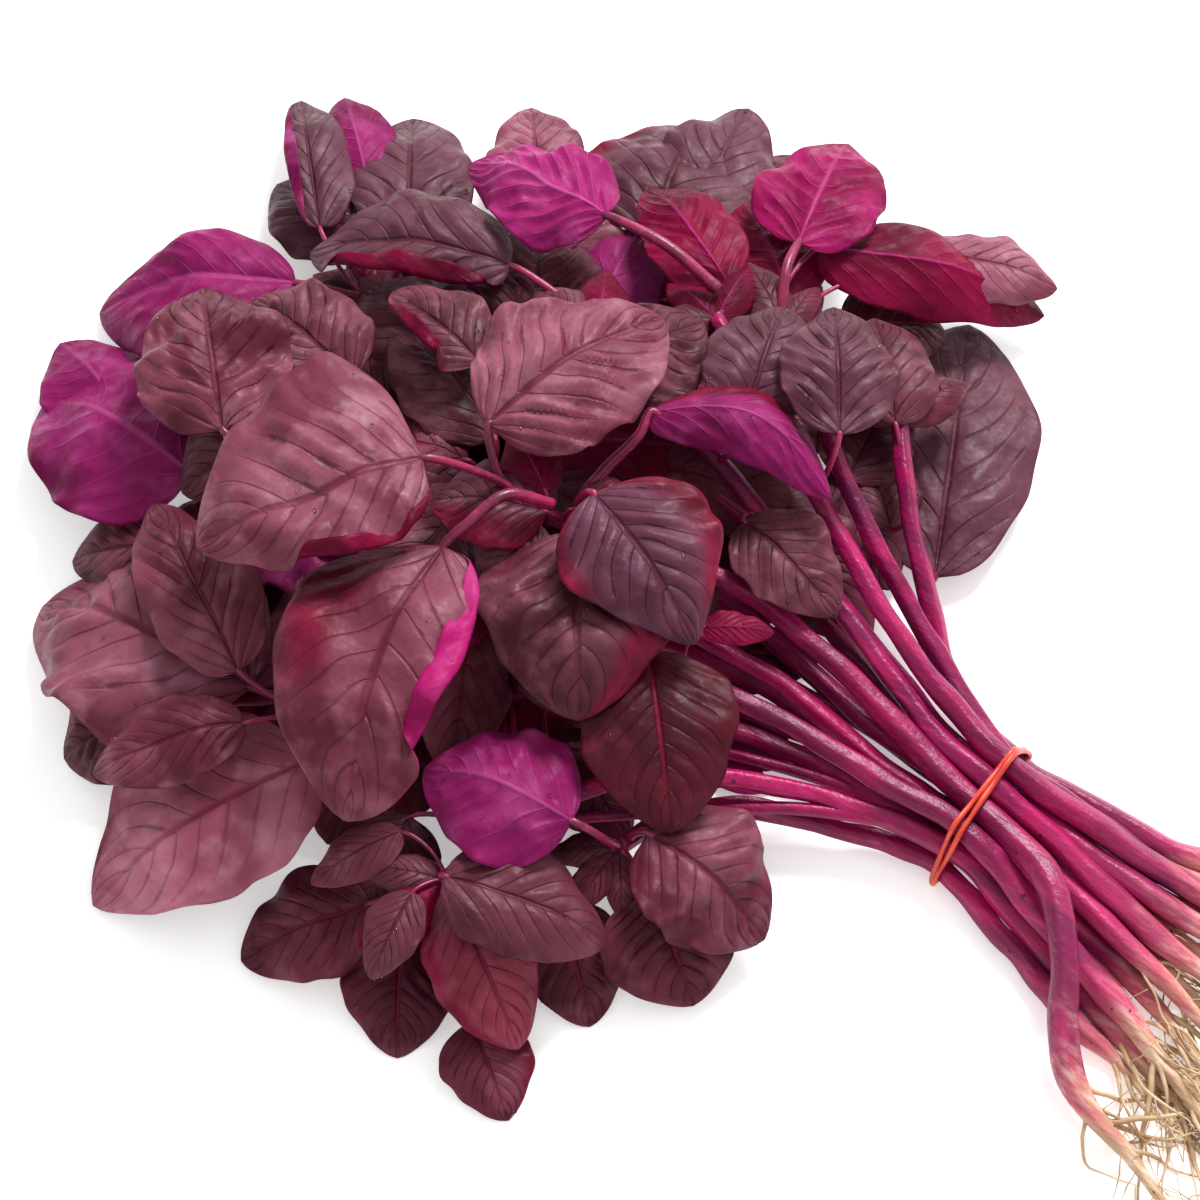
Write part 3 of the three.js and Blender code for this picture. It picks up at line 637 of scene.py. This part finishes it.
STEMS = [
    dict(at=(1.5, 2), radius=2.9, shoot=[(-127, 64, 38), (-100, 50, 35), (-72, 36, 29.5), (-48, 25, 25),
                                         (-20, 15, 18.8)], collar=(11.5, 9.4), root=(98, 20, 4)),
    dict(at=(0.5, 2), radius=2.9, shoot=[(-150, 44, 35), (-120, 36, 33), (-90, 29, 29), (-62, 21, 24),
                                         (-20, 7, 18.4)], collar=(-2.5, 9.6), root=(104, -8, 4)),
    dict(at=(-0.5, 2), radius=3.2, shoot=[(-128, -10, 40), (-105, -1, 34), (-79, 7, 28), (-45, 6, 22),
                                          (-18, 0, 18)],
         collar=[(16, -6.5, 18.6), (28, -13, 20.4), (39, -25.5, 18.4), (48, -38, 11.5), (56, -46, 7.5)],
         root=(100, -62, 2.5)),
    dict(at=(-1.5, 2), radius=2.9, shoot=[(-125, -36, 38), (-100, -28, 33), (-78, -20, 27), (-55, -15, 22),
                                          (-25, -12, 18.4)], collar=(-21.8, 8.6), root=(100, -40, 3)),
    dict(at=(2, 1), radius=2.8, shoot=[(-112, 74, 34), (-90, 59, 32), (-69, 44, 28), (-40, 30.5, 19),
                                       (-18, 20, 13)], collar=(15, 3.4), root=(97, 34, 2)),
    dict(at=(1, 1), radius=2.7, shoot=[(-165, 22, 26), (-120, 28, 23), (-72, 27, 17), (-40, 18, 13.5),
                                       (-18, 10.5, 11.6)], collar=(4.5, 9.6), root=(100, 7, 3)),
    dict(at=(0, 1), radius=2.6, shoot=[(-190, -24, 24), (-160, -6, 22), (-120, 6, 18), (-70, 7, 13.5),
                                       (-35, 2.5, 12)], collar=(-9.4, 9.6), root=(96, -20, 3)),
    dict(at=(-1, 1), radius=2.8, shoot=[(-130, -22, 26), (-95, -9, 22), (-62, -4, 17.5), (-35, -5.5, 13.5)],
         collar=(-12.5, 3.2), root=(92, -27, 2)),
    dict(at=(-2, 1), radius=2.7, shoot=[(-92, -98, 24), (-88, -80, 24), (-76, -54, 22), (-57, -36, 19),
                                        (-38, -25, 15)], collar=(-25, 3.2), root=(84, -36, 2)),
    dict(at=(-2.5, 0), radius=2.6, shoot=[(-65, -64, 17), (-61, -50, 14), (-52, -37, 10.5), (-35, -27, 6.5)],
         collar=(-31.4, 3.2), root=(74, -36, 1.6)),
    dict(at=(-1.5, 0), radius=2.7, shoot=[(-148, -76, 15), (-136, -64, 13.5), (-110, -42, 11),
                                          (-62, -17, 6.5), (-30, -11, 5)], collar=(-18.6, 3),
         root=(86, -32, 1.6)),
    dict(at=(-0.5, 0), radius=2.7, shoot=[(-172, -34, 13), (-120, -15, 9), (-65, -3, 6), (-30, -3.5, 5)],
         collar=(-6, 3), root=(90, -14, 1.6)),
    dict(at=(0.5, 0), radius=2.7, shoot=[(-215, 28, 13), (-180, 30, 12), (-120, 18, 8), (-65, 9, 6),
                                         (-30, 4, 5)], collar=(1, 3), root=(88, 2, 1.6)),
    dict(at=(1.5, 0), radius=2.7, shoot=[(-176, 84, 15), (-155, 72, 13), (-110, 46, 10), (-62, 22, 6.5),
                                         (-30, 13, 5)], collar=(8.2, 3), root=(86, 16, 1.6)),
    dict(at=(2.5, 0), radius=2.8, shoot=[(-76, 74, 25), (-62, 58, 22), (-46, 42, 17), (-24, 25, 7.4)],
         collar=(21.6, 3.2), root=(92, 42, 2)),
]


def row_height(row):
    return BAND_THICKNESS + BAND_GAP + STEM_RADIUS + row * ROW_RISE


def stem_points(stem):
    column, row = stem["at"]
    tied = (0, column * STEM_PITCH, row_height(row))
    turning = isinstance(stem["collar"], list)
    neck = stem["collar"] if turning else [(COLLAR_X, *stem["collar"])]
    early = [] if turning else [tuple((p + q) / 2 for p, q in zip(neck[0], tied))]
    taper = tuple((p + q) / 2 for p, q in zip(neck[-1], stem["root"]))
    return np.array([*stem["shoot"], tied, *early, *neck, taper, stem["root"]], float)


def smooth_path(points, count):
    """A centripetal Catmull-Rom curve through the points, as count evenly spaced points."""
    ends = np.concatenate(([2 * points[0] - points[1]], points, [2 * points[-1] - points[-2]]))
    fine = []
    for p0, p1, p2, p3 in zip(ends, ends[1:], ends[2:], ends[3:]):
        knots = np.cumsum([0] + [np.linalg.norm(q - p) ** 0.5 for p, q in ((p0, p1), (p1, p2), (p2, p3))])
        for t in np.linspace(knots[1], knots[2], 16, endpoint=False):
            a = [p + (q - p) * (t - k) / (m - k)
                 for p, q, k, m in zip((p0, p1, p2), (p1, p2, p3), knots, knots[1:])]
            b = [p + (q - p) * (t - k) / (m - k)
                 for p, q, k, m in zip(a, a[1:], knots, knots[2:])]
            fine.append(b[0] + (b[1] - b[0]) * (t - knots[1]) / (knots[2] - knots[1]))
    fine.append(points[-1])
    fine = np.array(fine)
    distance = np.concatenate(([0], np.cumsum(np.linalg.norm(np.diff(fine, axis=0), axis=1))))
    places = np.linspace(0, distance[-1], count)
    return np.stack([np.interp(places, distance, fine[:, axis]) for axis in range(3)], -1)


def tube(path, radii, sides, ridges=None, closed=False):
    """Vertices and faces of a tube along a path. ridges(ring, angle) gives a factor on the radius."""
    path = np.asarray(path, float)
    tangents = np.gradient(path, axis=0)
    if closed:
        tangents = np.roll(path, -1, axis=0) - np.roll(path, 1, axis=0)
    tangents /= np.linalg.norm(tangents, axis=1, keepdims=True)
    normal = np.cross(tangents[0], (0.3, 0.2, 1.0))
    normal /= np.linalg.norm(normal)
    vertices = []
    angles = np.arange(sides) * 2 * math.pi / sides
    for ring, (place, tangent, radius) in enumerate(zip(path, tangents, radii)):
        normal = normal - tangent * np.dot(normal, tangent)
        normal /= np.linalg.norm(normal)
        side = np.cross(tangent, normal)
        factor = ridges(ring, angles) if ridges else np.ones(sides)
        vertices.extend(place + radius * factor[:, None] * (np.outer(np.cos(angles), normal)
                                                            + np.outer(np.sin(angles), side)))
    rings = len(path)
    faces = []
    for ring in range(rings if closed else rings - 1):
        first, second = ring * sides, (ring + 1) % rings * sides
        for k in range(sides):
            m = (k + 1) % sides
            faces.append([first + k, first + m, second + m, second + k])
    if not closed:
        faces.append(list(range(sides))[::-1])
        faces.append(list(range((rings - 1) * sides, rings * sides)))
    return vertices, faces


def stem_radius(x, radius, tip_x):
    collar_x = COLLAR_X + 4
    if x > collar_x:
        along = min((x - collar_x) / (tip_x - collar_x), 1)
        return radius * (1.08 * (1 - along) ** 1.3 + 0.24 * along)
    if x > 0:
        return radius * (1 + 0.08 * x / collar_x)
    return radius * max(1 + 0.0028 * x, 0.6)


def collect(groups):
    """Joins (vertices, faces) groups into one pair."""
    vertices, faces = [], []
    for more_vertices, more_faces in groups:
        start = len(vertices)
        vertices.extend(more_vertices)
        faces.extend([[corner + start for corner in face] for face in more_faces])
    return vertices, faces


STEM_RINGS = 110
STEM_SIDES = 20


def build_stem(number, stem, material):
    """One plant's stem and taproot, with the low ribs of its skin."""
    rng = random.Random(100 + number)
    path = smooth_path(stem_points(stem), STEM_RINGS)
    phases = [rng.uniform(0, 6) for _ in range(4)]
    rings = np.arange(STEM_RINGS)
    path[:, 1] += 0.35 * np.sin(rings * 0.23 + phases[1]) + 0.2 * np.sin(rings * 0.61 + phases[2])
    radii = []
    for ring, place in enumerate(path):
        swelling = 1 + 0.05 * math.sin(ring * 0.31 + phases[0]) + 0.03 * math.sin(ring * 0.83 + phases[1])
        radii.append(stem_radius(place[0], stem["radius"], stem["root"][0]) * STEM_FULLNESS * swelling)

    def ribs(ring, angles):
        twist = ring * 0.012
        return (1 + 0.07 * np.cos(5 * angles + phases[2] + twist)
                + 0.03 * np.cos(9 * angles + phases[3] - twist))

    vertices, faces = tube(path, radii, STEM_SIDES, ribs)
    vertices = np.array(vertices)
    vertices[:, 2] = np.maximum(vertices[:, 2], 0.05)
    node = f"stem_{number:02d}"
    piece = make_object(f"{node}_skin", vertices, faces, [material])
    place_piece(piece, node)
    return path


# Thin side shoots: the stem each one forks from, and where its leafy end lies, in millimetres.
SIDE_SHOOTS = [(5, (-88, 62, 10)), (2, (-82, 33, 9)), (14, (-80, 40, 5)), (13, (-84, 2, 3)),
               (11, (-80, -30, 5)), (10, (-72, -46, 7)), (9, (-84, -66, 12)), (12, (-78, -14, 3))]


def shoot_ribs(ring, angles):
    """Four low ribs that turn slowly along a side shoot."""
    return 1 + 0.07 * np.cos(4 * angles + ring * 0.02)


def build_side_shoots(stem_paths, material):
    for number, (stem_number, end) in enumerate(SIDE_SHOOTS, 1):
        path = stem_paths[stem_number - 1]
        fork = path[np.argmin(np.abs(path[:, 0] + 14))]
        onward = path[np.argmin(np.abs(path[:, 0] + 32))]
        middle = onward * 0.55 + (fork + end) * 0.225
        shoot = smooth_path(np.array([fork, middle, end], float), 40)
        shoot[:, 2] = np.maximum(shoot[:, 2], 1.9)
        vertices, faces = tube(shoot, np.linspace(1.9, 1.3, 40), 12, shoot_ribs)
        place_piece(make_object(f"side_shoot_{number:02d}", vertices, faces, [material]))


def place_piece(piece, node=None):
    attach(piece, BODY)
    if node:
        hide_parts(node)


# ---- Roots -------------------------------------------------------------------------------------------

def rootlet(rng, start, heading, length, thick):
    """A thin wavering root that sinks to the table: vertices and faces."""
    steps = max(5, int(length / 3))
    reach = ROOT_REACH - rng.uniform(0, 16)
    place = np.array(start, float)
    heading = np.array(heading, float)
    path = [place.copy()]
    for _ in range(steps):
        if place[0] > reach:
            heading[0] = -abs(heading[0]) * 0.2
        heading += np.array((rng.gauss(0.04, 0.14), rng.gauss(0, 0.2), rng.gauss(0, 0.14) - 0.07))
        heading /= np.linalg.norm(heading)
        place = place + heading * length / steps
        if place[2] < 0.5:
            place[2] = 0.5
            heading[2] = abs(heading[2]) * 0.3
        path.append(place.copy())
    radii = np.linspace(thick, 0.1, len(path))
    return tube(smooth_path(np.array(path), steps * 2), np.interp(np.linspace(0, 1, steps * 2),
                np.linspace(0, 1, len(radii)), radii), 5), path


def build_roots(paths, material):
    """Side roots and root hairs of every plant, as one piece for each plant."""
    for number, path in enumerate(paths, 1):
        rng = random.Random(500 + number)
        below = [place for place in path if place[0] > COLLAR_X + 2]
        groups = []
        for _ in range(11):
            k = rng.randrange(len(below) - 1)
            onward = below[min(k + 1, len(below) - 1)] - below[k]
            onward = onward / max(np.linalg.norm(onward), 1e-6)
            heading = onward * 1.3 + np.array((0.5, rng.gauss(0, 0.6), rng.gauss(-0.05, 0.3)))
            group, trail = rootlet(rng, below[k], heading, rng.uniform(22, 50), rng.uniform(0.5, 1.15))
            groups.append(group)
            for _ in range(3):
                j = rng.randrange(1, len(trail))
                spread = (rng.uniform(0.1, 1), rng.gauss(0, 0.9), rng.gauss(0, 0.3))
                groups.append(rootlet(rng, trail[j], spread, rng.uniform(4, 17), 0.2)[0])
        tail = np.array(path[-1]) - np.array(path[-4])
        groups.append(rootlet(rng, path[-1], tail, rng.uniform(5, 9), 0.65)[0])
        vertices, faces = collect(groups)
        vertices = np.array(vertices)
        vertices[:, 2] = np.maximum(vertices[:, 2], 0.05)
        place_piece(make_object(f"rootlets_{number:02d}", vertices, faces, [material]))


# ---- Rubber band -------------------------------------------------------------------------------------

def band_loop(distance, count):
    """Points round the outside of the tied stems, in the bunch's y and z."""
    low = np.array((2.5 * STEM_PITCH, row_height(0)))
    high = np.array((1.5 * STEM_PITCH, row_height(2)))
    corners = [low, high, high * (-1, 1), low * (-1, 1)]
    lean = math.atan2(low[0] - high[0], high[1] - low[1])
    turns = [-math.pi / 2, lean, math.pi / 2, math.pi - lean, math.pi * 1.5]
    loop = []
    for corner, begin, end in zip(corners, turns, turns[1:]):
        for angle in np.linspace(begin, end, 9):
            loop.append(corner + distance * np.array((math.cos(angle), math.sin(angle))))
    loop = np.array(loop + loop[:1])
    walked = np.concatenate(([0], np.cumsum(np.linalg.norm(np.diff(loop, axis=0), axis=1))))
    places = np.linspace(0, walked[-1], count, endpoint=False)
    return np.stack([np.interp(places, walked, loop[:, axis]) for axis in range(2)], -1)


def strand_section(ring, angles):
    """The slightly flat, slowly turning section of one strand of rubber."""
    return 1 + 0.12 * np.cos(2 * angles + ring * 0.05)


def build_band(material):
    """The band goes round twice: two turns that cross once and twist a little."""
    count = 150
    groups = []
    for sign in (-1, 1):
        loop = band_loop(STEM_RADIUS + BAND_GAP + 0.55, count)
        share = np.arange(count) / count
        beside = sign * (1.0 + 0.35 * np.sin(share * 2 * math.pi * 2 + 1)) * np.cos(share * math.pi * 2 + 0.6)
        dip = 0.35 * np.sin(share * 2 * math.pi * 9 + sign)
        path = np.column_stack((beside, loop[:, 0], loop[:, 1] + np.where(loop[:, 1] > 8, dip, 0)))
        path[:, 2] = np.maximum(path[:, 2], STRAND_RADIUS)
        radii = STRAND_RADIUS * (1 + 0.08 * np.sin(share * 2 * math.pi * 7 + sign))
        groups.append(tube(path, radii, 12, strand_section, closed=True))
    vertices, faces = collect(groups)
    piece = make_object("rubber_band_turns", vertices, faces, [material])
    place_piece(piece, "rubber_band")


# ---- Leaf stalks and inner leaves --------------------------------------------------------------------

def stalk_between(leaf, lift, stem_places):
    """A stalk from the leaf's base back to the nearest place on a stem: vertices and faces."""
    base = np.array(leaf["base"], float)
    base[2] += lift
    along = leaf_axes(leaf)[0]
    along /= np.linalg.norm(along)
    if "stalk" in leaf:
        route = [base + along * 4 - np.array((0, 0, 0.4)), base, *leaf["stalk"]]
        path = smooth_path(np.array(route, float), 36)
        return tube(path, np.interp(np.linspace(0, 1, 36), (0, 0.15, 1), (0.5, 1.25, 1.75)), 10)
    offsets = stem_places - base
    distances = np.linalg.norm(offsets, axis=1)
    forward = offsets @ along
    cost = distances + 1.2 * np.maximum(forward, 0) + 40 * (distances < 7)
    foot = stem_places[np.argmin(cost)]
    span = np.linalg.norm(foot - base)
    middle = (base + foot) / 2 - along * span * 0.15 - np.array((0, 0, span * 0.08))
    inner = base + along * 2.5 - np.array((0, 0, 0.6))
    path = smooth_path(np.array((inner, base, middle, foot)), max(8, int(span / 2)))
    path[:, 2] = np.maximum(path[:, 2], STALK_RADIUS + 0.1)
    thick = STALK_RADIUS * min(max(leaf["width"] / 36, 0.55), 1.15)
    radii = np.interp(np.linspace(0, 1, len(path)), (0, 0.12, 0.8, 1), (0.5, 1, 1.05, 1.5)) * thick
    return tube(path, radii, 9)


def inner_leaves():
    """Leaves low inside the heap, fanned round the shoots, that close the gaps between the upper ones."""
    rng = random.Random(7)
    leaves = []
    for count, radius, height, size in ((6, 12, 4, 1.2), (11, 36, 3, 1.1), (15, 62, 5, 1.0),
                                        (14, 46, 16, 0.95), (9, 24, 24, 0.95)):
        for k in range(count):
            turn = 2 * math.pi * (k + rng.uniform(-0.25, 0.25)) / count
            outward = np.array((math.cos(turn), math.sin(turn)))
            centre = np.array((-150, 2)) + outward * radius * (1.05, 1.35)
            length = rng.uniform(38, 52) * size
            base = centre - outward * length * 0.45
            tip = centre + outward * length * 0.55
            if max(base[0], tip[0]) > -74:
                continue
            tone = rng.choice(("brown", "brown", "maroon", "maroon", "mauve", "crimson", "violet"))
            leaves.append(dict(base=(*base, height + rng.uniform(3, 7)),
                               tip=(*tip, height - rng.uniform(0, 3)),
                               width=rng.uniform(28, 40) * size, arch=rng.uniform(3, 7),
                               cup=rng.uniform(2, 5), tone=tone, flip=tone in ("crimson", "violet"),
                               roll=rng.uniform(-16, 16), crinkle=1.8, pucker=1.2, ripple=2.5))
    return leaves


def young_leaves(stem_paths):
    """Three small leaves spreading from the leafy end of every shoot."""
    rng = random.Random(11)
    leaves = []
    for path in stem_paths:
        heading = path[0] - path[6]
        turn = math.atan2(heading[1], heading[0])
        for spread in (-0.9, 0.1, 1.0):
            angle = turn + spread + rng.uniform(-0.2, 0.2)
            length = rng.uniform(17, 27)
            reach = np.array((math.cos(angle), math.sin(angle))) * length
            base = path[0] - (0, 0, 1)
            tip = (base[0] + reach[0], base[1] + reach[1], max(base[2] - rng.uniform(2, 6), 3))
            tone = rng.choice(("brown", "mauve", "maroon", "crimson"))
            leaves.append(dict(base=tuple(base), tip=tip, width=length * rng.uniform(0.5, 0.65), arch=3,
                               cup=3, tone=tone, flip=tone == "crimson", pucker=1.2, crinkle=1.4))
    return leaves


def water_drops(rng, spots):
    """Tiny beads of water at a few of the given places: vertices and faces."""
    rings, sides = 5, 8
    angles = np.arange(sides) * 2 * math.pi / sides
    groups = []
    for _ in range(rng.randrange(3, 9)):
        radius = rng.uniform(0.28, 0.62)
        centre = spots[rng.randrange(len(spots))] + (0, 0, radius * 0.4)
        vertices = []
        for polar in np.linspace(0.12, math.pi - 0.12, rings):
            circle = np.column_stack((np.cos(angles), np.sin(angles), np.zeros(sides))) * math.sin(polar)
            vertices.extend(centre + radius * (circle + (0, 0, math.cos(polar))))
        faces = [list(range(sides)), list(range((rings - 1) * sides, rings * sides))[::-1]]
        for ring in range(rings - 1):
            for k in range(sides):
                m = (k + 1) % sides
                near = ring * sides
                far = near + sides
                faces.append([near + k, far + k, far + m, near + m])
        groups.append((vertices, faces))
    return collect(groups)


def build_leaves(stem_paths):
    upper = {name: leaf_material(f"leaf_{name}_upper", raised=False, **colours)
             for name, colours in UPPER_SKINS.items()}
    under = {name: leaf_material(f"leaf_{name}_under", raised=True, **colours)
             for name, colours in UNDER_SKINS.items()}
    stalk = stalk_material()
    stem_places = np.concatenate([[place for place in path if place[0] < -40] for path in stem_paths])

    water = water_material()

    def add_leaf(name, leaf, seed, lift, steps, columns, node=None):
        rng = random.Random(seed)
        vertices, faces, kinds, uvs, values = blade_mesh(leaf, rng, lift, steps, columns)
        skin = leaf.get("skin", leaf["tone"])
        if leaf.get("flip"):
            faced = [under[skin], upper["brown"]]
        else:
            faced = [upper[skin], under[leaf.get("under", "crimson")]]
        additions = [(2, stalk_between(leaf, lift, stem_places))]
        if node:
            additions.append((3, water_drops(rng, vertices[:len(vertices) // 2])))
        for kind, (more_vertices, more_faces) in additions:
            start = len(vertices)
            vertices = np.concatenate((vertices, more_vertices))
            faces += [[corner + start for corner in face] for face in more_faces]
            kinds += [kind] * len(more_faces)
            uvs = np.concatenate((uvs, np.zeros((len(more_vertices), 2))))
            values = {key: np.concatenate((numbers, np.zeros(len(more_vertices))))
                      for key, numbers in values.items()}
        piece = make_object(name, vertices, faces, [*faced, stalk, water], kinds, uvs, values)
        place_piece(piece, node)

    for number, leaf in enumerate(LOW_LEAVES + HIGH_LEAVES, 1):
        node = f"leaf_{number:02d}"
        add_leaf(f"{node}_blade", leaf, number, lift_of(leaf, node), 56, 40, node)
    for number, leaf in enumerate(EXTRA_LEAVES, 1):
        add_leaf(f"extra_leaf_{number:02d}", leaf, 800 + number, 0, 38, 28)
    for number, leaf in enumerate(inner_leaves(), 1):
        add_leaf(f"inner_leaf_{number:02d}", leaf, 900 + number, 0, 28, 20)
    for number, leaf in enumerate(young_leaves(stem_paths), 1):
        add_leaf(f"young_leaf_{number:02d}", leaf, 700 + number, 0, 20, 12)


# ---- Stage -------------------------------------------------------------------------------------------

def add_area_light(name, place, aim, size, power, colour=(1, 1, 1)):
    data = bpy.data.lights.new(name, "AREA")
    data.shape = "DISK"
    data.size = size
    data.energy = power
    data.color = colour
    light = bpy.data.objects.new(name, data)
    light.location = place
    light.rotation_euler = (Vector(place) - Vector(aim)).to_track_quat("Z", "Y").to_euler()
    bpy.context.collection.objects.link(light)


def add_stage():
    bpy.ops.mesh.primitive_plane_add(size=6, location=(0, 0, 0))
    floor = bpy.context.object
    floor.name = "table_top"
    floor.data.materials.append(floor_material())
    world = bpy.data.worlds.new("studio")
    world.use_nodes = True
    background = world.node_tree.nodes["Background"]
    background.inputs["Color"].default_value = (1.0, 0.995, 0.99, 1)
    background.inputs["Strength"].default_value = 0.80
    bpy.context.scene.world = world
    heap = (-0.13, 0.0, 0.03)
    add_area_light("key", (-0.25, 0.75, 0.8), heap, 0.4, 17)
    bpy.context.scene.view_settings.view_transform = "Standard"


add_camera()
skin = stem_material()
stem_paths = [build_stem(number, stem, skin) for number, stem in enumerate(STEMS, 1)]
build_side_shoots(stem_paths, skin)
build_roots(stem_paths, rootlet_material())
build_band(rubber_material())
build_leaves(stem_paths)
add_stage()
